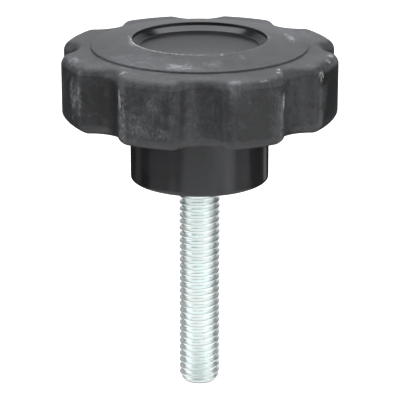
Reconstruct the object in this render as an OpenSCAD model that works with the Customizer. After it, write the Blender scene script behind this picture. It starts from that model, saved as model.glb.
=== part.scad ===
// Eight-arm clamping knob with a threaded stud.
// A soft grip is moulded over a hard plastic hub, and the hub holds a steel stud by its hexagon head.
// Lengths are in millimetres. The origin is the middle of the hub's seat face, and the stud points down.

/* [Grip] */
// Diameter over the arms
grip_d = 64; // [60:0.5:72]
// Height of the arms
arm_h = 16; // [14:0.1:22]
// Number of arms
arm_count = 8; // [6:1:10]
// Depth of the flutes between the arms
flute_depth = 3.5; // [2:0.1:4]
// Radius of each flute
flute_r = 6; // [5:0.1:9]
// Radius of the upright corners beside each flute
corner_r = 3; // [2:0.1:4]
// Rounding of the arms' upper edges
top_edge_r = 2.5; // [1:0.1:3]
// Rounding of the arms' lower edges
low_edge_r = 2.8; // [1:0.1:3]
// Width of the arms' flat top outside the raised disc
disc_margin = 7.2; // [6:0.1:10]
// Height of the disc's edge above the arms
disc_step = 0.5; // [0.2:0.05:0.8]
// Rise of the coned disc from its edge to the rim of the recess
disc_rise = 1.45; // [0.5:0.05:3]

/* [Recess] */
// Diameter of the recess in the top
recess_d = 30.8; // [24:0.1:36]
// Depth of the grip's upright wall in the recess
recess_wall = 0.8; // [0.5:0.1:2]
// Depth of the hub's dished top below that wall
dish_depth = 1.1; // [0.5:0.1:2]
// Width of the dish's sloping border
dish_border = 1.5; // [0.5:0.1:3]

/* [Hub] */
// Diameter of the hub
hub_d = 32; // [26:0.5:38]
// Height of the hub below the grip
hub_h = 15; // [14:0.1:22]
// Rounding of the hub's lower edge
hub_edge_r = 0.3; // [0.2:0.1:1.5]
// Thickness of the arms outside the hub's flange
cover_t = 8; // [7:0.1:11]
// Thickness of that flange
flange_t = 6; // [4:0.1:8]
// Thickness of the grip below the flange
under_t = 4.2; // [2.5:0.1:5]
// Radius of the notches that key the grip to the flange
key_r = 3.2; // [2:0.1:4]
// Gap between the stud and the relief round it in the seat face
relief_gap = 0.5; // [0.2:0.1:1]
// Depth of that relief
relief_h = 0.6; // [0.3:0.1:2]

/* [Stud] */
// Diameter over the thread
stud_d = 9.5; // [9:0.01:12]
// Length of the stud below the hub
stud_l = 50.8; // [20:0.1:80]
// Height of the chamfer at the stud's end
chamfer_h = 1.3; // [0.5:0.1:2]
// Width of that chamfer
chamfer_w = 0.85; // [0.3:0.05:1.5]
// Diameter of the plain shank inside the hub
shank_d = 8.4; // [7:0.1:8.8]
// Height of the head's seat above the hub's seat face
head_seat = 11; // [6:0.1:13]
// Width of the head across its flats
head_flats = 14.3; // [13:0.1:17]
// Thickness of the head
head_t = 6.2; // [4:0.1:8]

/* [Hidden] */

// How far a cut runs past the face that it opens
overrun = 1;
// Steps along an arm's face, a corner, a flute and an edge rounding
arm_steps = 6;
corner_steps = 5;
flute_steps = 10;
edge_steps = 6;
// Smoothness of the turned surfaces
$fn = 128;

grip_r = grip_d / 2;
disc_r = grip_r - disc_margin;
recess_r = recess_d / 2;
hub_r = hub_d / 2;
flange_r = grip_r - cover_t;
stud_r = stud_d / 2;

// Heights above the hub's seat face
arm_z = hub_h + arm_h;
disc_z = arm_z + disc_step;
rim_z = disc_z + disc_rise;
border_z = rim_z - recess_wall;
floor_z = border_z - dish_depth;
flange_z = hub_h + under_t;
flange_mid_z = flange_z + flange_t / 2;

// Layout of one arm: the axes of its corners and flutes, and the angles where their arcs meet
pitch = 360 / arm_count;
corner_at = grip_r - corner_r;
flute_at = grip_r - flute_depth + flute_r;
corner_reach = flute_r + corner_r;
corner_angle = acos((corner_at ^ 2 + flute_at ^ 2 - corner_reach ^ 2) / (2 * corner_at * flute_at));
flute_turn = atan2(corner_at * sin(corner_angle), flute_at - corner_at * cos(corner_angle));
// An edge rounding stays smaller than the corners that it runs round
edge_limit_share = 0.95;
top_in = min(top_edge_r, corner_r * edge_limit_share);
low_in = min(low_edge_r, corner_r * edge_limit_share);
// Radius where the arms' flat top ends, under the raised disc
arm_top_r = min(disc_r, grip_r - flute_depth - top_in) - overrun;

// A point at a distance and angle from the axis
function polar(r, a) = r * [cos(a), sin(a)];

// Points along an arc, without the last one
function arc(centre, r, from, to, steps) =
    [for (i = [0 : steps - 1]) centre + polar(r, from + (to - from) * i / steps)];

// The corner after the flute at angle a, and the corner before it, set in by a distance
function corner_after(a, inset) =
    arc(polar(corner_at, a + corner_angle), corner_r - inset, a - flute_turn, a + corner_angle, corner_steps);
function corner_before(a, inset) =
    arc(polar(corner_at, a - corner_angle), corner_r - inset, a - corner_angle, a + flute_turn, corner_steps);

// The flute at angle a, and the arm's face between the flutes at angles a and b
function flute(a, inset) =
    arc(polar(flute_at, a), flute_r + inset, a + 180 + flute_turn, a + 180 - flute_turn, flute_steps);
function arm_face(a, b, inset) =
    arc([0, 0], grip_r - inset, a + corner_angle, b - corner_angle, arm_steps);

// One arm and the flute after it
function arm(a, b, inset) =
    concat(corner_after(a, inset), arm_face(a, b, inset), corner_before(b, inset), flute(b, inset));

// The grip's outline, set in by a distance
function outline(inset) = [for (k = [0 : arm_count - 1]) each arm(k * pitch, (k + 1) * pitch, inset)];

// The outline's points moved onto a circle
function on_circle(r) = [for (p = outline(0)) polar(r, atan2(p.y, p.x))];

// A ring of points at one height
function level(points, z) = [for (p = points) [p.x, p.y, z]];

// The rings of the arms' surface, from the middle of the underside to the middle of the top
function arm_rings() =
    let (turns = [for (i = [0 : edge_steps]) 90 * i / edge_steps])
    concat(
        [level(on_circle(hub_r - overrun), hub_h)],
        [for (t = turns) level(outline(low_in * (1 - sin(t))), hub_h + low_in * (1 - cos(t)))],
        [for (t = turns) level(outline(top_in * (1 - cos(t))), arm_z - top_in * (1 - sin(t)))],
        [level(on_circle(arm_top_r), arm_z)]
    );

// A closed skin through rings that have the same number of points
module loft(rings) {
    n = len(rings[0]);
    last = len(rings) - 1;
    sides = [
        for (i = [0 : last - 1], j = [0 : n - 1])
            let (
                a = i * n + j,
                b = i * n + (j + 1) % n
            )
            each [[a, a + n, b + n], [a, b + n, b]]
    ];
    floor_cap = [for (j = [0 : n - 1]) j];
    top_cap = [for (j = [n - 1 : -1 : 0]) last * n + j];
    polyhedron(points = [for (ring = rings) each ring], faces = concat([floor_cap], sides, [top_cap]));
}

// The raised disc: a low cone round the recess, with an upright edge on the arms
module raised_disc() {
    rotate_extrude()
        polygon([
            [0, arm_z - top_in],
            [disc_r, arm_z - top_in],
            [disc_r, disc_z],
            [recess_r, rim_z],
            [0, rim_z]
        ]);
}

// Notches in the flange, one at each flute, where the grip keys into the hub
module key_notches() {
    for (k = [0 : arm_count - 1])
        rotate([0, 0, k * pitch])
            translate([flange_r, 0, flange_z - overrun])
                cylinder(r = key_r, h = flange_t + overrun + overrun);
}

// The space that the hub takes up in the grip: neck, notched flange and boss, with open ends
module hub_space() {
    difference() {
        union() {
            translate([0, 0, hub_h - overrun])
                cylinder(r = hub_r, h = flange_mid_z - hub_h + overrun);
            translate([0, 0, flange_z])
                cylinder(r = flange_r, h = flange_t);
            translate([0, 0, flange_mid_z])
                cylinder(r = recess_r, h = rim_z - flange_mid_z + overrun);
        }
        key_notches();
    }
}

// The part of the stud inside the hub: a plain shank and a hexagon head
module stud_anchor(below) {
    translate([0, 0, -below])
        cylinder(d = shank_d, h = head_seat + below);
    translate([0, 0, head_seat])
        cylinder(d = head_flats / cos(30), h = head_t, $fn = 6);
}

// Soft moulded grip with arms, flutes and a raised disc round the recess
module grip() {
    color([0.16, 0.16, 0.17])
        difference() {
            union() {
                loft(arm_rings());
                raised_disc();
            }
            hub_space();
        }
}

// Half section of the hub: neck with a rounded seat edge, flange, and boss with a dished top
module hub_section() {
    difference() {
        union() {
            square([hub_r, flange_mid_z]);
            translate([0, flange_z])
                square([flange_r, flange_t]);
            translate([0, flange_mid_z])
                square([recess_r, border_z - flange_mid_z]);
        }
        polygon([
            [0, floor_z],
            [recess_r - dish_border, floor_z],
            [recess_r, border_z],
            [recess_r, rim_z],
            [0, rim_z]
        ]);
        translate([hub_r - hub_edge_r, 0])
            difference() {
                square(hub_edge_r);
                translate([0, hub_edge_r])
                    circle(r = hub_edge_r);
            }
    }
}

// Hard plastic hub, turned about the axis, with the notches, the stud's space and its relief cut out
module hub() {
    color([0.13, 0.13, 0.14])
        difference() {
            rotate_extrude()
                hub_section();
            key_notches();
            stud_anchor(overrun);
            translate([0, 0, -overrun])
                cylinder(r = stud_r + relief_gap, h = relief_h + overrun);
        }
}

// Zinc-plated steel stud; its thread is cut within the plain diameter
module stud() {
    color([0.80, 0.83, 0.82]) {
        stud_anchor(0);
        rotate_extrude()
            polygon([
                [0, -stud_l],
                [stud_r - chamfer_w, -stud_l],
                [stud_r, chamfer_h - stud_l],
                [stud_r, 0],
                [0, 0]
            ]);
    }
}

grip();
hub();
stud();
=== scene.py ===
"""Eight-arm clamping knob: a scuffed rubber grip, a satin plastic hub and a zinc-plated stud."""
import math

import bpy
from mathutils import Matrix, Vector


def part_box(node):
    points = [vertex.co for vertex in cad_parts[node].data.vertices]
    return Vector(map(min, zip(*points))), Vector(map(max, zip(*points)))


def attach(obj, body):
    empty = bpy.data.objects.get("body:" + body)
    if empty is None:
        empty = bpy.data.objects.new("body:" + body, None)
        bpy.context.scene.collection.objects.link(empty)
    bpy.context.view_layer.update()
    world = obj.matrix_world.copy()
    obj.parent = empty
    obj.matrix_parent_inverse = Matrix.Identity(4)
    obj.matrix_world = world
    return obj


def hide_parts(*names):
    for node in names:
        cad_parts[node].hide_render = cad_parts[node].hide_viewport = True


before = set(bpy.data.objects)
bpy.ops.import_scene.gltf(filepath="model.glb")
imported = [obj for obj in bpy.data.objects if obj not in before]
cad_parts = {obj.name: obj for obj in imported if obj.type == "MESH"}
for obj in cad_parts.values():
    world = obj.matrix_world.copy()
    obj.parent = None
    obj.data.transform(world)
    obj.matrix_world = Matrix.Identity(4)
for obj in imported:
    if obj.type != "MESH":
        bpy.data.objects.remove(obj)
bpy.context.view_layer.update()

# Pieces are modelled in millimetres and scaled to metres when they are finished
MM = 0.001
# How far bodies that are joined or cut run into each other
LAP = 0.02
# How near a point lies to the place where it is looked for
NEAR = 0.01
# Distances within which points are welded, while a piece is shaped and when it is finished
WELD = 0.001
LAST_WELD = 0.0005
# Neighbouring faces that meet at less than this angle are shaded as one surface
SMOOTH_ANGLE = 32

# Heights that the frame gives
GRIP_LOW_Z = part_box("grip")[0].z / MM
RIM_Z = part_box("grip")[1].z / MM
STUD_END_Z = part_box("stud")[0].z / MM

# Grip
ARM_COUNT = 8
PITCH = 360 / ARM_COUNT
GRIP_R = 32.0
ARM_H = 16.0
FLUTE_DEPTH = 3.5
FLUTE_R = 6.0
CORNER_R = 3.0
TOP_EDGE_R = 2.5
LOW_EDGE_R = 2.8
DISC_MARGIN = 7.2
DISC_R = GRIP_R - DISC_MARGIN
DISC_STEP = 0.5
DISC_EDGE_R = 0.2
RECESS_R = 15.4
RECESS_WALL = 0.8
RIM_EDGE_R = 0.2
ARM_TOP_Z = GRIP_LOW_Z + ARM_H
DISC_Z = ARM_TOP_Z + DISC_STEP
BORDER_Z = RIM_Z - RECESS_WALL

# Hub
HUB_R = 16.0
HUB_EDGE_R = 0.3
# Height of a ring of points that keeps the shading of the hub's wall apart from its edge
HUB_EDGE_LOOP = 1.0
COVER_T = 8.0
UNDER_T = 4.2
FLANGE_R = GRIP_R - COVER_T
FLANGE_T = 6.0
FLANGE_Z = GRIP_LOW_Z + UNDER_T
DISH_DEPTH = 1.1
DISH_BORDER = 1.5
DISH_EDGE_R = 0.35
FLOOR_Z = BORDER_Z - DISH_DEPTH
KEY_R = 3.2
KEY_STEPS = 40

# Stud
STUD_R = 4.75
RELIEF_GAP = 0.5
RELIEF_R = STUD_R + RELIEF_GAP
RELIEF_H = 0.6
INCH = 25.4
THREAD_PITCH = INCH / 16
# Lean of a thread's flanks
FLANK_ANGLE = 30
CREST_EDGE_R = 0.09
ROOT_EDGE_R = 0.19
CHAMFER_H = 1.3
CHAMFER_W = 0.85
SHANK_R = 4.2
# How far the plain shank runs down into the thread
RUN_OUT = 0.45
HEAD_SEAT_Z = 11.0
HEAD_T = 6.2
HEAD_SIDES = 6
HEAD_FLATS = 14.3
HEAD_R = HEAD_FLATS / 2 / math.cos(math.pi / HEAD_SIDES)
HEAD_EDGE_R = 0.4

# Layout of an arm: where its corners and flutes have their axes, and the angles where their arcs meet
CORNER_AT = GRIP_R - CORNER_R
FLUTE_AT = GRIP_R - FLUTE_DEPTH + FLUTE_R
CORNER_ANGLE = math.degrees(math.acos(
    (CORNER_AT ** 2 + FLUTE_AT ** 2 - (FLUTE_R + CORNER_R) ** 2) / (2 * CORNER_AT * FLUTE_AT)
))

# Points along the curves
ARM_STEPS = 16
CORNER_STEPS = 9
FLUTE_STEPS = 11
EDGE_STEPS = 8
TURN_STEPS = 192
THREAD_STEPS = 72

# Camera fitted to the photo: the point it looks at, its place and its focal length
LOOK_AT = Vector((0.1, 0, -6.015))
CAMERA_DISTANCE = 480.95
CAMERA_ELEVATION = 18.5
CAMERA_TURN = 0.812
SENSOR_WIDTH = 36.0
FOCAL_LENGTH = 185.4

# Softboxes and floor cards: place, the point they face, width and height in millimetres, and brightness.
# A floor card that leans towards the stud has its height running away from the stud.
SOFTBOXES = {
    "overhead": ((0, 60, 700), (0, 0, 0), (800, 700), 4.2),
    "back": ((0, 800, 330), (0, 0, 20), (1300, 600), 0.5),
    "horizon": ((225, 700, 40), (0, 0, 40), (950, 170), 1.2),
    "front_right": ((620, -560, 260), (0, 0, 10), (450, 600), 1.9),
    "front": ((0, -700, 380), (0, 0, -20), (500, 260), 1.2),
    "left": ((-800, -60, 230), (0, 0, 10), (700, 560), 1.8),
    "right": ((800, 0, 150), (0, 0, 10), (400, 400), 1.4),
    "floor_near": ((5, -74, -50.6), (5, -74, 500), (250, 102), 1.84),
    "floor_foot": ((0, -9, -50.6), (0, -9, 500), (24, 28), 0.9),
    "floor_foot_left": ((-66, -9, -50.6), (-66, -9, 500), (108, 28), 1.7),
    "floor_foot_right": ((71, -9, -50.6), (71, -9, 500), (118, 28), 1.6),
    "floor_hub_front": ((-10, -171.5, -50.6), (-10, -171.5, 500), (160, 93), 1.6),
    "floor_hub_right": ((123, -145, -49.8), (115.4, -136, 500), (122, 60), 1.75),
    "floor_hub_side": ((183, -52, -49.8), (171, -48.6, 500), (84, 60), 1.0),
    "floor_hub_rim": ((124, 125, -49.8), (112, 113, 500), (36, 48), 0.68),
    "floor_hub_left": ((-166, 92, -49.8), (-155, 86, 500), (54, 60), 0.2),
    "floor_grip_front": ((-10, -246, -50.6), (-10, -246, 500), (160, 56), 1.2),
    "floor_grip_right": ((154, -197, -49.8), (146.6, -187.5, 500), (200, 56), 2.65),
    "floor_left": ((-152, -136, -50.6), (-152, -136, 500), (124, 266), 0.44),
    "floor_rear": ((-40, 61, -50.6), (-40, 61, 500), (200, 98), 0.05),
}
# Tint of the softboxes, and light from everywhere else
COOL = (0.97, 0.985, 1.0)
FILL = 0.02
# The floor's width in metres, and its glow
FLOOR_SIZE = 6.0
FLOOR_GLOW = 0.95

# Scuffs on the grip, and patches of painted light: angle, distance from the axis and height of the
# middle, reach in each, and strength
SCUFFS_AND_PAINTED_LIGHT = (
    # Painted light: paler areas of the top
    ((-120, 24.0, 31.5), (40, 9.0, 3), 0.15),
    ((30, 25.0, 31.5), (32, 8.0, 3), 0.18),
    # Painted light on the flute walls that face right, towards the lights
    ((-49, 29.5, 22.5), (9, 4, 10), 0.14),
    ((-94, 29.0, 22.5), (4.5, 3, 9), 0.12),
    # Smears on the disc
    ((-103, 22.6, 31.8), (12, 2.2, 1), 0.60),
    ((-82, 20.8, 32.1), (8, 2.2, 1), 0.28),
    ((10, 21.0, 32.1), (13, 1.2, 1), 0.55),
    ((-60, 18.4, 32.5), (2.5, 2.0, 1), 0.25),
    # Rubbed places on the rim of the recess
    ((175, 16.2, 32.8), (6, 0.6, 0.6), 0.50),
    ((-160, 16.3, 32.8), (7, 0.9, 1), 0.60),
    ((2, 15.9, 32.9), (5, 0.6, 0.6), 0.45),
    # Rubbed upper corners of the arms
    ((-126.5, 28.4, 30.8), (2.5, 1.2, 1.2), 0.70),
    ((-76.5, 30.8, 30.5), (2.2, 0.7, 0.7), 0.55),
    ((-35, 29.1, 30.8), (1.8, 0.6, 0.5), 0.70),
    ((-158, 30.6, 30.5), (10, 1.9, 1.4), 0.60),
    # Scrapes on the arms' faces and upright corners
    ((-123.8, 31.8, 25.8), (0.9, 0.5, 3.2), 0.95),
    ((-115, 32.0, 20.5), (7, 1.0, 4.0), 0.30),
    ((-110, 32.0, 25.0), (4, 1.0, 2.0), 0.20),
    ((-106, 32.0, 19.5), (4, 1.0, 2.0), 0.28),
    ((-151, 32.0, 23.5), (6, 1.0, 5.0), 0.48),
    ((-147.5, 31.9, 23.5), (2, 0.8, 7), 0.50),
    ((-121.8, 31.9, 22.5), (2, 0.8, 8), 0.40),
    ((-55.7, 31.8, 25.0), (1.0, 0.6, 2.4), 0.50),
    ((-30, 32.0, 22.8), (4, 1.0, 3.5), 0.12),
)

# Places rubbed clean of chalk, and places darkened with painted shade, in the same terms
RUBBED_AND_PAINTED_SHADE = (
    ((-23, 32.0, 23.0), (14, 3.0, 10.0), 1.0),
    ((-67, 32.0, 24.0), (12, 3.0, 10.0), 0.6),
    ((-78.5, 31.5, 23.0), (3, 2.0, 9.0), 0.5),
    ((-102.5, 32.0, 26.0), (4, 2.0, 5.0), 0.7),
    # Painted shade in the front flute and in the front-left flute
    ((-90, 29.5, 23.0), (10, 4.0, 11.0), 0.4),
    ((-135, 29.5, 23.0), (10, 4.0, 11.0), 0.5),
    # Painted shade: darker areas of the top; the first two are one area, across the seam of the angle
    ((165, 25.0, 31.5), (45, 9.0, 3.0), 0.6),
    ((-195, 25.0, 31.5), (45, 9.0, 3.0), 0.6),
    ((-4, 26.0, 31.5), (20, 8.0, 3.0), 0.8),
)

# Chips rubbed almost white, in the same terms
CHIPS = (
    ((-51.3, 27.0, 31.0), (1.6, 0.8, 0.8), 0.9),
    ((-53.6, 28.8, 30.7), (2.2, 0.9, 0.9), 0.9),
    ((-16.3, 30.5, 30.8), (2.4, 0.9, 0.9), 0.9),
    ((-23, 30.9, 30.6), (2.0, 0.9, 0.9), 0.7),
    ((-33.3, 31.9, 28.6), (1.6, 0.8, 1.6), 0.8),
    ((-40, 30.5, 29.8), (2.0, 1.0, 1.0), 0.5),
    ((-76, 30.9, 30.4), (3.0, 0.6, 0.6), 0.25),
    ((-64, 31.2, 30.3), (3.0, 0.5, 0.5), 0.25),
    ((-55.7, 31.8, 25.2), (1.0, 0.7, 2.2), 0.6),
    ((-126.5, 28.4, 30.8), (3.0, 1.2, 1.0), 0.5),
    ((-123.9, 31.8, 26.0), (0.9, 0.6, 2.8), 0.4),
    ((-73, 15.9, 32.8), (3.0, 0.7, 0.7), 0.6),
    ((-168, 15.9, 32.8), (10, 0.7, 0.7), 0.5),
    ((8, 21.2, 32.1), (14, 1.3, 1.0), 0.25),
    ((-103, 22.6, 31.8), (9, 1.6, 1), 0.15),
)
# Shares of its reach up to which a patch is full, and where it ends
PATCH_FULL = 0.2
PATCH_END = 1.1
# Side of the recess where the rim is rubbed most
RIM_WEAR_ANGLE = -135

# Chalk and painted light on the rubber: a start below none, then what the top, each pattern, each kind
# of wear and the painted light and shade add
BARE_CHALK = -0.176
TOP_CHALK = 0.146
CLOUD_CHALK = 0.24
MOTTLE_CHALK = 0.14
GRAIN_CHALK = 0.06
RUBBED_AND_SHADED_CHALK = -0.08
STREAK_CHALK = 0.12
SCRAPE_CHALK = 0.13
EDGE_CHALK_AND_HIGHLIGHT = 0.10
CORNER_CHALK = 0.26
UPRIGHT_SCRATCH_CHALK = 0.08
LEVEL_SCRATCH_CHALK = 0.15

# Colours of the finishes
RUBBER_BLACK = (0.012, 0.012, 0.0125, 1)
CHALK_AND_PAINTED_LIGHT_GREY = (0.34, 0.347, 0.365, 1)
CHIP_WHITE = (0.6, 0.61, 0.62, 1)
PLASTIC_BLACK = (0.012, 0.012, 0.013, 1)
DUST_GREY = (0.20, 0.20, 0.21, 1)
ZINC_COOL = (0.88, 0.965, 0.95, 1)
ZINC_WARM = (0.93, 0.96, 0.94, 1)
ROOT_GREY = (0.45, 0.49, 0.48, 1)
FLOOR_GREY = (0.5, 0.5, 0.5, 1)
WHITE = (1, 1, 1, 1)

# Depth of the fine relief on each finish
RUBBER_RELIEF = 0.05
PLASTIC_RELIEF = 0.0004
ZINC_RELIEF = 0.006


def polar(r, degrees):
    """A point at a distance and angle from the knob's axis"""
    a = math.radians(degrees)
    return Vector((r * math.cos(a), r * math.sin(a), 0))


def start_piece(name, at):
    """A new piece in edit mode, with a single selected point"""
    bpy.ops.object.select_all(action="DESELECT")
    bpy.ops.mesh.primitive_plane_add(size=1)
    piece = bpy.context.object
    piece.name = name
    piece.data.name = name
    bpy.ops.object.mode_set(mode="EDIT")
    bpy.ops.mesh.select_mode(type="VERT")
    bpy.ops.mesh.select_all(action="SELECT")
    bpy.ops.mesh.merge(type="CENTER")
    bpy.ops.transform.translate(value=at)
    return piece


def selected_points(piece):
    """The places of the selected points"""
    piece.update_from_editmode()
    return [v.co.copy() for v in piece.data.vertices if v.select]


def draw_section(name, points):
    """A new piece: a line through points, each given by its distance from the axis and its height"""
    piece = start_piece(name, (points[0][0], 0, points[0][1]))
    for (r0, z0), (r1, z1) in zip(points, points[1:]):
        bpy.ops.mesh.extrude_region_move(TRANSFORM_OT_translate={"value": (r1 - r0, 0, z1 - z0)})
    bpy.ops.mesh.select_all(action="SELECT")
    return piece


def turn_section(steps=TURN_STEPS):
    """Turns the drawn section about the axis into a closed body"""
    bpy.ops.mesh.spin(steps=steps, angle=math.tau, center=(0, 0, 0), axis=(0, 0, 1))
    bpy.ops.mesh.select_all(action="SELECT")
    bpy.ops.mesh.remove_doubles(threshold=WELD)
    bpy.ops.mesh.normals_make_consistent(inside=False)


def swing(about, degrees, steps):
    """Carries the selected point round an upright axis and leaves an arc behind it"""
    bpy.ops.mesh.spin(
        steps=steps, angle=-math.radians(degrees), center=about, axis=(0, 0, 1), use_auto_merge=False
    )


def rise(height):
    """Extrudes the selected face upwards"""
    bpy.ops.mesh.extrude_region_move(TRANSFORM_OT_translate={"value": (0, 0, height)})


def ring_to(piece, radius, height=0.0):
    """Extrudes the selected face to a circle of that radius, raised by a height"""
    bpy.ops.mesh.extrude_region_move()
    bpy.ops.transform.tosphere(value=1)
    share = radius / selected_points(piece)[0].xy.length
    bpy.ops.transform.resize(value=(share, share, 1), center_override=(0, 0, 0))
    bpy.ops.transform.translate(value=(0, 0, height))


def round_edge(radius):
    """Rounds the selected face's edge by a row of insets along a quarter circle"""
    for i in range(EDGE_STEPS):
        a = math.pi / 2 * i / EDGE_STEPS
        b = math.pi / 2 * (i + 1) / EDGE_STEPS
        bpy.ops.mesh.inset(
            thickness=radius * (math.cos(a) - math.cos(b)),
            depth=radius * (math.sin(b) - math.sin(a)),
        )


def select_middle_face(piece, z):
    """Selects only the face that lies across the axis at a height"""
    bpy.ops.mesh.select_mode(type="FACE")
    bpy.ops.mesh.select_all(action="DESELECT")
    bpy.ops.object.mode_set(mode="OBJECT")
    for f in piece.data.polygons:
        f.select = abs(f.center.z - z) < NEAR and f.center.xy.length < NEAR
    bpy.ops.object.mode_set(mode="EDIT")


def round_ring(piece, radius, z, size, segments=4):
    """Rounds the edge that runs round the axis at a radius and height"""
    bpy.ops.mesh.select_mode(type="EDGE")
    bpy.ops.mesh.select_all(action="DESELECT")
    bpy.ops.object.mode_set(mode="OBJECT")
    on_ring = [
        abs(v.co.xy.length - radius) < NEAR and abs(v.co.z - z) < NEAR for v in piece.data.vertices
    ]
    for e in piece.data.edges:
        e.select = all(on_ring[i] for i in e.vertices)
    bpy.ops.object.mode_set(mode="EDIT")
    bpy.ops.mesh.bevel(offset=size, segments=segments)


def round_points(piece, radius, size):
    """Rounds the corners of a drawn section that lie at a radius, apart from its two ends"""
    bpy.ops.mesh.select_all(action="DESELECT")
    bpy.ops.object.mode_set(mode="OBJECT")
    low_end = min(v.co.z for v in piece.data.vertices)
    high_end = max(v.co.z for v in piece.data.vertices)
    for v in piece.data.vertices:
        between_ends = low_end + NEAR < v.co.z < high_end - NEAR
        v.select = between_ends and abs(v.co.x - radius) < NEAR
    bpy.ops.object.mode_set(mode="EDIT")
    bpy.ops.mesh.bevel(affect="VERTICES", offset=size, segments=4)


def combine(piece, other, operation):
    """Cuts or joins the piece with another one, which is then deleted"""
    bpy.ops.object.select_all(action="DESELECT")
    bpy.context.view_layer.objects.active = piece
    cut = piece.modifiers.new("combine", "BOOLEAN")
    cut.object = other
    cut.operation = operation
    cut.solver = "EXACT"
    bpy.ops.object.modifier_apply(modifier=cut.name)
    other.select_set(True)
    bpy.ops.object.delete()
    bpy.context.view_layer.objects.active = piece
    piece.select_set(True)


def make_keys():
    """Upright bodies, one at each flute, that fill the notches in the hub's flange"""
    bpy.ops.object.select_all(action="DESELECT")
    bpy.ops.mesh.primitive_cylinder_add(
        vertices=KEY_STEPS, radius=KEY_R, depth=FLANGE_T + 2 * LAP,
        location=(FLANGE_R, 0, FLANGE_Z + FLANGE_T / 2),
    )
    keys = bpy.context.object
    bpy.ops.object.transform_apply(location=True)
    bpy.ops.object.mode_set(mode="EDIT")
    bpy.ops.mesh.select_all(action="SELECT")
    bpy.ops.mesh.spin(
        steps=ARM_COUNT - 1, angle=math.radians(360 - PITCH),
        center=(0, 0, 0), axis=(0, 0, 1), dupli=True,
    )
    bpy.ops.object.mode_set(mode="OBJECT")
    return keys


def make_head(name):
    """The hexagon of the stud's head"""
    top = HEAD_SEAT_Z + HEAD_T
    piece = draw_section(name, [(0, HEAD_SEAT_Z), (HEAD_R, HEAD_SEAT_Z), (HEAD_R, top), (0, top)])
    turn_section(HEAD_SIDES)
    return piece


def finish_piece(piece, node, material, flat_faces=True):
    """Welds the piece, scales it to metres, smooths its shading and puts it in its node's place"""
    bpy.ops.object.mode_set(mode="EDIT")
    bpy.ops.mesh.select_all(action="SELECT")
    bpy.ops.mesh.remove_doubles(threshold=LAST_WELD)
    bpy.ops.mesh.delete_loose()
    bpy.ops.mesh.select_all(action="SELECT")
    bpy.ops.mesh.normals_make_consistent(inside=False)
    bpy.ops.transform.resize(value=(MM, MM, MM), center_override=(0, 0, 0))
    bpy.ops.object.mode_set(mode="OBJECT")
    bpy.ops.object.shade_smooth_by_angle(angle=math.radians(SMOOTH_ANGLE))
    # Wide faces keep an even shade beside rounded edges
    if flat_faces:
        weighted = piece.modifiers.new("weighted", "WEIGHTED_NORMAL")
        weighted.keep_sharp = True
        bpy.ops.object.modifier_apply(modifier=weighted.name)
    piece.data.materials.clear()
    piece.data.materials.append(material)
    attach(piece, "root")
    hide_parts(node)


class Finish:
    """A node material under construction, with its pattern coordinates in millimetres"""

    def __init__(self, name):
        self.material = bpy.data.materials.new(name)
        self.material.use_nodes = True
        self.tree = self.material.node_tree
        self.shader = self.tree.nodes["Principled BSDF"]
        place = self.add("ShaderNodeTexCoord").outputs["Object"]
        self.place = self.vector("SCALE", place, Scale=1 / MM)
        self.height = self.add("ShaderNodeSeparateXYZ", {0: self.place}).outputs["Z"]
        self.radius = self.vector("LENGTH", self.vector("MULTIPLY", self.place, (1, 1, 0)))

    def add(self, kind, inputs=(), **settings):
        """A node with its settings, and a value or a link for each of its inputs"""
        node = self.tree.nodes.new(kind)
        for name, value in settings.items():
            setattr(node, name, value)
        for key, value in dict(inputs).items():
            self.feed(node.inputs[key], value)
        return node

    def feed(self, socket, value):
        """Gives a socket a value, or a link from another node"""
        if isinstance(value, bpy.types.NodeSocket):
            self.tree.links.new(value, socket)
        else:
            socket.default_value = value

    def math(self, operation, a, b=0.0, c=0.0, clamp=False):
        """A step of arithmetic on values"""
        inputs = {0: a, 1: b, 2: c}
        return self.add("ShaderNodeMath", inputs, operation=operation, use_clamp=clamp).outputs[0]

    def vector(self, operation, a, b=None, c=None, **inputs):
        """A step of arithmetic on places"""
        inputs.update({i: v for i, v in enumerate((a, b, c)) if v is not None})
        node = self.add("ShaderNodeVectorMath", inputs, operation=operation)
        return node.outputs["Value" if operation == "LENGTH" else "Vector"]

    def noise(self, scale, detail=4.0, roughness=0.6, place=None, output="Fac"):
        """Cloudy noise with so many cells to the millimetre"""
        inputs = {
            "Vector": self.place if place is None else place,
            "Scale": scale, "Detail": detail, "Roughness": roughness,
        }
        return self.add("ShaderNodeTexNoise", inputs).outputs[output]

    def stretched(self, *shares):
        """The pattern's place drawn out along the axes"""
        return self.vector("MULTIPLY", self.place, shares)

    def joined(self, *parts):
        """A place made of three values"""
        return self.add("ShaderNodeCombineXYZ", dict(enumerate(parts))).outputs[0]

    def ramp(self, value, start, end, low=0.0, high=1.0):
        """Eases from low to high while the value runs from start to end"""
        inputs = {"Value": value, 1: start, 2: end, 3: low, 4: high}
        return self.add("ShaderNodeMapRange", inputs, interpolation_type="SMOOTHSTEP").outputs["Result"]

    def band(self, value, middle, reach):
        """A soft band of strength one round a middle value"""
        off = self.math("ABSOLUTE", self.math("SUBTRACT", value, middle))
        return self.ramp(off, reach, 0.0)

    def product(self, first, *others):
        """All the values multiplied together"""
        for value in others:
            first = self.math("MULTIPLY", first, value)
        return first

    def total(self, first, *others):
        """All the values added together"""
        for value in others:
            first = self.math("ADD", first, value)
        return first

    def mix(self, share, a, b):
        """One colour blended into another"""
        return self.add("ShaderNodeMix", {"Factor": share, 6: a, 7: b}, data_type="RGBA").outputs[2]

    def set(self, **inputs):
        """Values or links for the shader's inputs"""
        for name, value in inputs.items():
            self.feed(self.shader.inputs[name.replace("_", " ")], value)

    def relief(self, height, depth):
        """Fine surface relief of that depth in millimetres"""
        bump = self.add("ShaderNodeBump", {"Height": height, "Distance": depth * MM, "Strength": 1.0})
        self.set(Normal=bump.outputs["Normal"])


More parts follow.
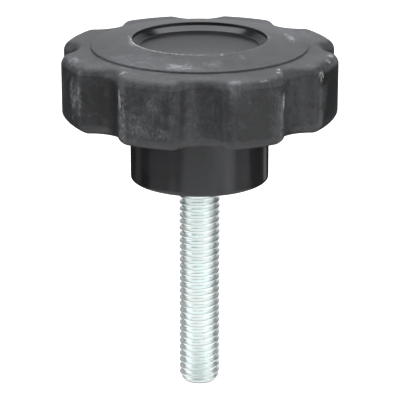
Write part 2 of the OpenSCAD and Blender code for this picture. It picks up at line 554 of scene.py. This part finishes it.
def ragged_patches(f, angle, places, raggedness, fineness):
    """Ragged patches at their places, in angle, distance from the axis and height"""
    place = f.joined(angle, f.radius, f.height)
    ragged = f.vector("SUBTRACT", f.noise(fineness, output="Color"), (0.5, 0.5, 0.5))
    ragged = f.vector("SCALE", ragged, Scale=raggedness)
    strongest = 0.0
    for middle, reach, strength in places:
        off = f.vector("MULTIPLY_ADD", place, tuple(1 / s for s in reach), ragged)
        off = f.vector("SUBTRACT", off, tuple(m / s for m, s in zip(middle, reach)))
        patch = f.ramp(f.vector("LENGTH", off), PATCH_END, PATCH_FULL, 0.0, strength)
        strongest = f.math("MAXIMUM", strongest, patch)
    return strongest


def curly_lines(f, scale, width):
    """Thin winding lines, where cloudy noise crosses its middle value"""
    off = f.math("SUBTRACT", f.noise(scale, detail=3.0), 0.5)
    return f.ramp(f.math("ABSOLUTE", off), width, 0.0)


def scrape_strokes(f, arc):
    """Short strokes, mostly upright, crossing each other on the arms' faces"""
    strokes = 0.0
    for lean, seed in ((0.1, 0), (0.9, 40), (-0.6, 80)):
        across = f.math("MULTIPLY_ADD", f.height, lean, arc)
        along = f.math("MULTIPLY_ADD", f.height, 0.2, seed)
        drawn_out = f.noise(scale=1.9, detail=3.0, place=f.joined(across, f.radius, along))
        strokes = f.math("MAXIMUM", strokes, f.ramp(drawn_out, 0.54, 0.70))
    return strokes


def hair_scratches(f, place, width):
    """Thin winding scratches, in places"""
    off = f.math("SUBTRACT", f.noise(scale=0.3, detail=2.0, place=place), 0.5)
    line = f.ramp(f.math("ABSOLUTE", off), width, 0.0)
    return f.product(line, f.ramp(f.noise(scale=0.16, place=place), 0.5, 0.65))


def grip_rubber():
    """Black rubber under a chalky bloom, with rubbed edges, streaks, scratches, scuffs, and painted
    light and shade
    """
    f = Finish("grip_rubber")
    xyz = f.add("ShaderNodeSeparateXYZ", {0: f.place})
    angle = f.math("ARCTAN2", xyz.outputs["Y"], xyz.outputs["X"])
    arc = f.math("MULTIPLY", angle, GRIP_R)
    angle = f.math("MULTIPLY", angle, math.degrees(1))
    off_flute = f.math("PINGPONG", angle, PITCH / 2)

    top = f.ramp(f.height, ARM_TOP_Z - 0.45, ARM_TOP_Z - 0.05)
    below_top = f.math("SUBTRACT", 1.0, top)
    side = f.product(below_top, f.ramp(f.height, GRIP_LOW_Z + 0.2, GRIP_LOW_Z + 1.6))
    arm = f.ramp(off_flute, CORNER_ANGLE - 5, CORNER_ANGLE - 1)
    cloud = f.noise(scale=0.11, detail=5.0)
    mottle = f.noise(scale=0.7)
    grain = f.noise(scale=5.0, detail=2.0)
    patchy = f.ramp(f.noise(scale=0.14, detail=3.0), 0.42, 0.62)
    broken = f.ramp(f.noise(scale=1.3, detail=5.0), 0.40, 0.60)
    strokes = scrape_strokes(f, arc)
    round_axis = f.joined(f.math("MULTIPLY", arc, 0.3), f.radius, f.height)
    smears = f.ramp(f.noise(scale=1.4, place=round_axis), 0.42, 0.62)
    streaks = f.ramp(f.noise(scale=1.2, detail=3.0, place=f.stretched(1, 1, 0.1)), 0.5, 0.72)

    even = f.math("MULTIPLY_ADD", top, TOP_CHALK, BARE_CHALK)
    even = f.math("MULTIPLY_ADD", cloud, CLOUD_CHALK, even)
    even = f.math("MULTIPLY_ADD", mottle, MOTTLE_CHALK, even)
    even = f.math("MULTIPLY_ADD", grain, GRAIN_CHALK, even)
    # Rubbed places, and painted shade in the flutes and on the top
    rubbed_and_shaded = ragged_patches(f, angle, RUBBED_AND_PAINTED_SHADE, raggedness=0.8, fineness=0.4)
    even = f.math("MULTIPLY_ADD", rubbed_and_shaded, RUBBED_AND_SHADED_CHALK, even)
    not_rubbed_or_shaded = f.math("SUBTRACT", 1.0, rubbed_and_shaded)
    streaked = f.product(streaks, patchy, side, arm, not_rubbed_or_shaded, STREAK_CHALK)
    scraped = f.product(strokes, patchy, side, arm, not_rubbed_or_shaded, SCRAPE_CHALK)
    # A lighter band on the arms' upper rounded edges: partly chalk, partly a painted highlight
    upper_edge = f.ramp(f.height, ARM_TOP_Z - 2.35, ARM_TOP_Z - 1.85)
    upper_edge = f.product(upper_edge, below_top, f.ramp(broken, 0, 1, 0.6, 1), EDGE_CHALK_AND_HIGHLIGHT)
    above_lower_edge = f.ramp(f.height, GRIP_LOW_Z + 0.7, GRIP_LOW_Z + LOW_EDGE_R + 0.7)
    corner = f.band(off_flute, CORNER_ANGLE - 1.0, 2.2)
    corner = f.product(corner, side, f.ramp(patchy, 0, 1, 0.15, 1))
    corner = f.product(corner, f.ramp(broken, 0, 1, 0.35, 1), not_rubbed_or_shaded, CORNER_CHALK)
    upright = hair_scratches(f, f.stretched(1, 1, 0.3), width=0.012)
    upright = f.product(upright, side, UPRIGHT_SCRATCH_CHALK)
    level = hair_scratches(f, f.stretched(0.5, 1, 1), width=0.010)
    level = f.product(level, LEVEL_SCRATCH_CHALK)
    scratched = f.total(upright, level)
    off_side = f.math("ABSOLUTE", f.math("SUBTRACT", angle, RIM_WEAR_ANGLE))
    rubbed_side = f.ramp(off_side, 58, 35, 0.15, 1.0)
    rim = f.product(f.band(f.radius, RECESS_R + RIM_EDGE_R, 0.5), top, rubbed_side)
    rim = f.product(rim, f.ramp(broken, 0, 1, 0.3, 1))
    scribbled = f.math("MAXIMUM", f.product(strokes, 0.6), curly_lines(f, scale=0.35, width=0.035))
    grit = f.math("MULTIPLY_ADD", smears, top, f.math("MULTIPLY", scribbled, side))
    # Scuffs, and patches of painted light on the top and on the flute walls
    scuffed_and_lit = ragged_patches(f, angle, SCUFFS_AND_PAINTED_LIGHT, raggedness=2.2, fineness=0.8)
    scuffed_and_lit = f.product(scuffed_and_lit, f.ramp(grit, 0.0, 1.0, 0.25, 1.0))
    specks = f.ramp(f.noise(scale=2.2, detail=3.0), 0.44, 0.58)
    chipped = f.product(ragged_patches(f, angle, CHIPS, raggedness=1.4, fineness=1.4), specks)

    chalk_and_painted_light = f.total(even, streaked, scraped, upper_edge, corner, scratched, rim, scuffed_and_lit)
    # Painted shade: the recess wall and the lower edge keep much less chalk, so they are darker
    painted_shade_factor = f.ramp(f.radius, RECESS_R, RECESS_R + 0.1, 0.05, 1.0)
    painted_shade_factor = f.product(painted_shade_factor, f.ramp(above_lower_edge, 0.0, 1.0, 0.45, 1.0))
    chalk_and_painted_light = f.math("MULTIPLY", chalk_and_painted_light, painted_shade_factor, clamp=True)
    rubber = f.mix(chalk_and_painted_light, RUBBER_BLACK, CHALK_AND_PAINTED_LIGHT_GREY)
    f.set(
        Base_Color=f.mix(chipped, rubber, CHIP_WHITE),
        Roughness=f.ramp(chalk_and_painted_light, 0.0, 0.5, 0.44, 0.8),
        Specular_IOR_Level=f.ramp(above_lower_edge, 0.0, 1.0, 0.26, 0.5),
    )
    f.relief(f.total(f.product(grain, 0.5), mottle, f.product(chalk_and_painted_light, 0.6)), RUBBER_RELIEF)
    return f.material


def hub_plastic():
    """Smooth satin black plastic with faint clouding and specks of dust"""
    f = Finish("hub_plastic")
    cloud = f.noise(scale=0.12, detail=4.0)
    peel = f.noise(scale=0.9, detail=2.0)
    dust = f.ramp(f.noise(scale=3.5, detail=1.0), 0.70, 0.80)
    shade = f.total(f.ramp(cloud, 0.3, 0.7, 0.0, 0.04), f.product(dust, 0.02))
    f.set(
        Base_Color=f.mix(shade, PLASTIC_BLACK, DUST_GREY),
        Roughness=f.ramp(cloud, 0.3, 0.7, 0.17, 0.22),
        Specular_IOR_Level=0.38,
    )
    f.relief(peel, PLASTIC_RELIEF)
    return f.material


def stud_zinc():
    """Bright zinc plating with a green-blue cast, duller in the thread's roots"""
    f = Finish("stud_zinc")
    cloud = f.noise(scale=0.3, detail=3.0)
    drawn = f.noise(scale=3.0, detail=3.0, place=f.stretched(0.4, 0.4, 3.0))
    plating = f.mix(f.ramp(cloud, 0.35, 0.65), ZINC_COOL, ZINC_WARM)
    root = f.ramp(f.radius, STUD_R - 0.5, STUD_R - 0.85, 0.0, 0.08)
    f.set(
        Base_Color=f.mix(root, plating, ROOT_GREY),
        Metallic=0.93,
        Roughness=f.ramp(f.total(cloud, drawn), 0.7, 1.3, 0.32, 0.44),
    )
    f.relief(drawn, ZINC_RELIEF)
    return f.material


def make_grip():
    """Arms and flutes drawn as arcs, raised to a wall, rounded, and topped with the coned disc"""
    near = polar(CORNER_AT, CORNER_ANGLE)
    flute_turn = math.degrees(math.atan2(near.y, FLUTE_AT - near.x))
    wall_z = GRIP_LOW_Z + LOW_EDGE_R

    piece = start_piece("grip_skin", polar(GRIP_R - FLUTE_DEPTH, 0) + Vector((0, 0, wall_z)))
    swing(polar(FLUTE_AT, 0), -flute_turn, FLUTE_STEPS)
    swing(near, flute_turn + CORNER_ANGLE, CORNER_STEPS)
    swing((0, 0, 0), PITCH - 2 * CORNER_ANGLE, ARM_STEPS)
    swing(polar(CORNER_AT, PITCH - CORNER_ANGLE), CORNER_ANGLE + flute_turn, CORNER_STEPS)
    swing(polar(FLUTE_AT, PITCH), -flute_turn, FLUTE_STEPS)
    bpy.ops.mesh.select_all(action="SELECT")
    bpy.ops.mesh.spin(steps=ARM_COUNT, angle=math.tau, center=(0, 0, 0), axis=(0, 0, 1), dupli=True)
    bpy.ops.mesh.select_all(action="SELECT")
    bpy.ops.mesh.remove_doubles(threshold=WELD)
    bpy.ops.mesh.edge_face_add()
    bpy.ops.mesh.select_mode(type="FACE")
    bpy.ops.mesh.flip_normals()

    rise(ARM_H - LOW_EDGE_R - TOP_EDGE_R)
    round_edge(TOP_EDGE_R)
    ring_to(piece, DISC_R)
    rise(DISC_STEP)
    ring_to(piece, RECESS_R, RIM_Z - DISC_Z)
    rise(FLANGE_Z + FLANGE_T - RIM_Z)
    ring_to(piece, FLANGE_R)
    rise(-FLANGE_T)
    ring_to(piece, HUB_R)
    bpy.ops.mesh.delete(type="ONLY_FACE")

    select_middle_face(piece, wall_z)
    round_edge(LOW_EDGE_R)
    ring_to(piece, HUB_R)
    bpy.ops.mesh.delete(type="ONLY_FACE")
    bpy.ops.mesh.select_mode(type="EDGE")
    bpy.ops.mesh.select_all(action="DESELECT")
    bpy.ops.mesh.select_non_manifold(extend=False)
    bpy.ops.mesh.bridge_edge_loops()

    round_ring(piece, RECESS_R, RIM_Z, RIM_EDGE_R)
    round_ring(piece, DISC_R, DISC_Z, DISC_EDGE_R, segments=3)
    bpy.ops.object.mode_set(mode="OBJECT")
    combine(piece, make_keys(), "UNION")
    finish_piece(piece, "grip", grip_rubber())


def make_hub():
    """The hub's half section turned about the axis, with the notches and the head's space cut out"""
    piece = draw_section("hub_core", [
        (0, HEAD_SEAT_Z + HEAD_T / 2),
        (SHANK_R, HEAD_SEAT_Z + HEAD_T / 2),
        (SHANK_R, RELIEF_H),
        (RELIEF_R, RELIEF_H),
        (RELIEF_R, 0),
        (HUB_R, 0),
        (HUB_R, HUB_EDGE_LOOP),
        (HUB_R, FLANGE_Z),
        (FLANGE_R, FLANGE_Z),
        (FLANGE_R, FLANGE_Z + FLANGE_T),
        (RECESS_R, FLANGE_Z + FLANGE_T),
        (RECESS_R, BORDER_Z),
        (RECESS_R - DISH_BORDER, FLOOR_Z),
        (0, FLOOR_Z),
    ])
    turn_section()
    round_ring(piece, HUB_R, 0, HUB_EDGE_R)
    round_ring(piece, RECESS_R - DISH_BORDER, FLOOR_Z, DISH_EDGE_R)
    bpy.ops.object.mode_set(mode="OBJECT")
    combine(piece, make_keys(), "DIFFERENCE")
    head_space = make_head("head_space")
    bpy.ops.object.mode_set(mode="OBJECT")
    combine(piece, head_space, "DIFFERENCE")
    finish_piece(piece, "hub", hub_plastic(), flat_faces=False)


def stud_blank():
    """The plain stud with its end chamfer, wide enough to leave the thread's crests whole"""
    blank = draw_section("stud_blank", [
        (0, STUD_END_Z),
        (STUD_R - CHAMFER_W, STUD_END_Z),
        (STUD_R + CHAMFER_W, STUD_END_Z + 2 * CHAMFER_H),
        (STUD_R + CHAMFER_W, 0),
        (0, 0),
    ])
    turn_section()
    bpy.ops.object.mode_set(mode="OBJECT")
    return blank


def wind_thread():
    """One turn of thread wound up past both ends of the stud, and cut level half a pitch beyond them"""
    # Heights of the flats on the crest and in the root, and of a flank
    crest = THREAD_PITCH / 8
    root = THREAD_PITCH / 4
    flank = (THREAD_PITCH - crest - root) / 2
    root_r = STUD_R - flank / math.tan(math.radians(FLANK_ANGLE))
    # The winding starts two pitches below the stud's end and runs on past the seat face
    turns = math.ceil(-STUD_END_Z / THREAD_PITCH) + 3
    z = STUD_END_Z - 2 * THREAD_PITCH

    piece = draw_section("stud_thread", [
        (root_r, z),
        (root_r, z + root / 2),
        (STUD_R, z + root / 2 + flank),
        (STUD_R, z + root / 2 + flank + crest),
        (root_r, z + THREAD_PITCH - root / 2),
        (root_r, z + THREAD_PITCH),
    ])
    round_points(piece, STUD_R, CREST_EDGE_R)
    round_points(piece, root_r, ROOT_EDGE_R)
    bpy.ops.object.mode_set(mode="OBJECT")
    winding = piece.modifiers.new("winding", "SCREW")
    winding.axis = "Z"
    winding.angle = math.tau
    winding.screw_offset = THREAD_PITCH
    winding.iterations = turns
    winding.steps = THREAD_STEPS
    winding.render_steps = THREAD_STEPS
    bpy.ops.object.modifier_apply(modifier=winding.name)
    bpy.ops.object.mode_set(mode="EDIT")
    bpy.ops.mesh.select_all(action="SELECT")
    bpy.ops.mesh.remove_doubles(threshold=WELD)
    for height, cut_below in ((THREAD_PITCH / 2, False), (STUD_END_Z - THREAD_PITCH / 2, True)):
        bpy.ops.mesh.select_all(action="SELECT")
        bpy.ops.mesh.bisect(
            plane_co=(0, 0, height), plane_no=(0, 0, 1),
            clear_inner=cut_below, clear_outer=not cut_below, use_fill=True,
        )
    bpy.ops.mesh.select_all(action="SELECT")
    bpy.ops.mesh.normals_make_consistent(inside=False)
    bpy.ops.object.mode_set(mode="OBJECT")
    return piece


def make_stud():
    """The wound thread trimmed to the chamfered blank, with its shank and hexagon head"""
    blank = stud_blank()
    piece = wind_thread()
    combine(piece, blank, "INTERSECT")

    shank = draw_section("shank", [
        (0, -RUN_OUT), (SHANK_R, -RUN_OUT), (SHANK_R, HEAD_SEAT_Z + LAP), (0, HEAD_SEAT_Z + LAP),
    ])
    turn_section()
    bpy.ops.object.mode_set(mode="OBJECT")
    combine(piece, shank, "UNION")
    head = make_head("head")
    round_ring(head, HEAD_R, HEAD_SEAT_Z + HEAD_T, HEAD_EDGE_R, segments=3)
    bpy.ops.object.mode_set(mode="OBJECT")
    combine(piece, head, "UNION")
    finish_piece(piece, "stud", stud_zinc())


def softbox(name, place, aim, size, brightness):
    """A soft rectangular light that faces a point and stays out of the camera's sight"""
    bpy.ops.object.light_add(type="AREA")
    lamp = bpy.context.object
    lamp.name = name
    lamp.location = Vector(place) * MM
    lamp.rotation_euler = (Vector(aim) - Vector(place)).to_track_quat("-Z", "Y").to_euler()
    lamp.data.shape = "RECTANGLE"
    lamp.data.size, lamp.data.size_y = (s * MM for s in size)
    lamp.data.color = COOL
    lamp.data.energy = brightness * math.pi * lamp.data.size * lamp.data.size_y
    lamp.visible_camera = False


def make_studio():
    """A pale floor under the stud's end, soft light from all round, and the camera"""
    scene = bpy.context.scene
    scene.view_settings.view_transform = "Standard"

    bpy.ops.object.select_all(action="DESELECT")
    bpy.ops.mesh.primitive_plane_add(size=FLOOR_SIZE, location=(0, 0, STUD_END_Z * MM))
    floor = bpy.context.object
    floor.name = "floor"
    paint = Finish("floor_white")
    paint.set(Base_Color=FLOOR_GREY, Roughness=0.9, Emission_Color=WHITE, Emission_Strength=FLOOR_GLOW)
    floor.data.materials.append(paint.material)
    floor.visible_diffuse = False
    floor.visible_glossy = False

    world = bpy.data.worlds.new("studio")
    world.use_nodes = True
    nodes = world.node_tree.nodes
    seen = nodes.new("ShaderNodeLightPath").outputs["Is Camera Ray"]
    strength = nodes.new("ShaderNodeMapRange")
    strength.inputs["To Min"].default_value = FILL
    world.node_tree.links.new(seen, strength.inputs["Value"])
    world.node_tree.links.new(strength.outputs["Result"], nodes["Background"].inputs["Strength"])
    nodes["Background"].inputs["Color"].default_value = WHITE
    scene.world = world

    for name, (place, aim, size, brightness) in SOFTBOXES.items():
        softbox(name, place, aim, size, brightness)

    bpy.ops.object.camera_add()
    camera = bpy.context.object
    camera.name = "camera"
    camera.data.sensor_width = SENSOR_WIDTH
    camera.data.lens = FOCAL_LENGTH
    up = math.radians(CAMERA_ELEVATION)
    turn = math.radians(CAMERA_TURN)
    back = Vector((-math.sin(turn) * math.cos(up), -math.cos(turn) * math.cos(up), math.sin(up)))
    camera.location = (LOOK_AT + back * CAMERA_DISTANCE) * MM
    camera.rotation_euler = (-back).to_track_quat("-Z", "Y").to_euler()
    camera.data.clip_start = 0.01
    scene.camera = camera


make_grip()
make_hub()
make_stud()
make_studio()
